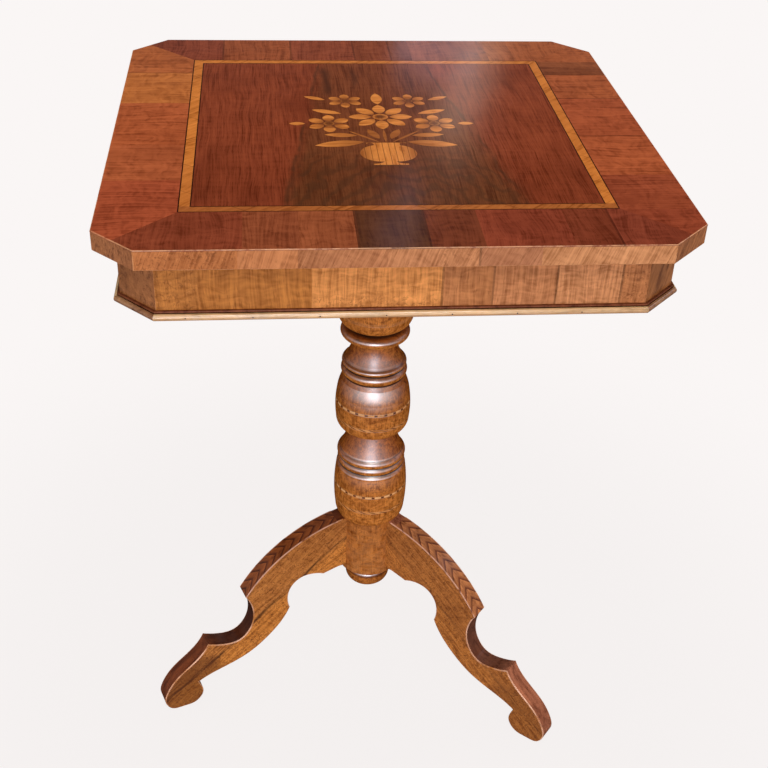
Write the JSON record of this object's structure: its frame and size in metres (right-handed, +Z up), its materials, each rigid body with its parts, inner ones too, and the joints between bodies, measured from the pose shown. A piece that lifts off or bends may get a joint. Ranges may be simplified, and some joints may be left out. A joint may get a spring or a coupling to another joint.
{
  "type": "pedestal table",
  "caption": "Pedestal table with an inlaid square top on a beaded frieze, a turned bulbous column and scrolled legs with chevron knees.",
  "frame": {"origin": "on the floor, under the middle of the top and the column's axis", "axes": "+Z up along the column, +X to the right and -Y towards the viewer as pictured"},
  "size_m": [0.55, 0.5576, 0.753],
  "materials": {
    "core_wood": "satin",
    "field_veneer": "gloss",
    "border_veneer": "gloss",
    "dark_line": "gloss",
    "pale_band": "gloss",
    "pale_inlay": "gloss",
    "shaded_inlay": "gloss",
    "edge_veneer": "gloss",
    "frieze_veneer": "gloss",
    "bead_wood": "gloss",
    "pin_iron": "satin",
    "screw_steel": "satin",
    "column_wood": "gloss",
    "wedge_wood": "satin",
    "string_inlay": "gloss",
    "leg_wood": "gloss",
    "knee_pale": "gloss",
    "knee_dark": "gloss"
  },
  "bodies": {
    "root": {"top_core": "core_wood", "corner_blocks": "core_wood", "glue_blocks": "core_wood", "bearer": "core_wood", "rail_front": "core_wood", "rail_right": "core_wood", "rail_back": "core_wood", "rail_left": "core_wood", "field_veneer": "field_veneer", "border_front": "border_veneer", "border_right": "border_veneer", "border_back": "border_veneer", "border_left": "border_veneer", "line_outer": "dark_line", "line_inner": "dark_line", "band_pale": "pale_band", "motif_urn": "pale_inlay", "motif_petals": "pale_inlay", "motif_leaves": "pale_inlay", "motif_hearts": "shaded_inlay", "edge_sides": "edge_veneer", "edge_corners": "edge_veneer", "frieze_front": "frieze_veneer", "frieze_right": "frieze_veneer", "frieze_back": "frieze_veneer", "frieze_left": "frieze_veneer", "frieze_corners": "frieze_veneer", "bead_front": "bead_wood", "bead_right": "bead_wood", "bead_back": "bead_wood", "bead_left": "bead_wood", "bead_corners": "bead_wood", "bead_pins": "pin_iron", "bearer_screws": "screw_steel", "column": "column_wood", "finial": "column_wood", "tenon_wedge": "wedge_wood", "bulb_strings": "string_inlay", "leg_rear": "leg_wood", "leg_left": "leg_wood", "leg_right": "leg_wood", "knee_pale_rear": "knee_pale", "knee_pale_left": "knee_pale", "knee_pale_right": "knee_pale", "knee_dark_rear": "knee_dark", "knee_dark_left": "knee_dark", "knee_dark_right": "knee_dark"}
  },
  "joints": []
}
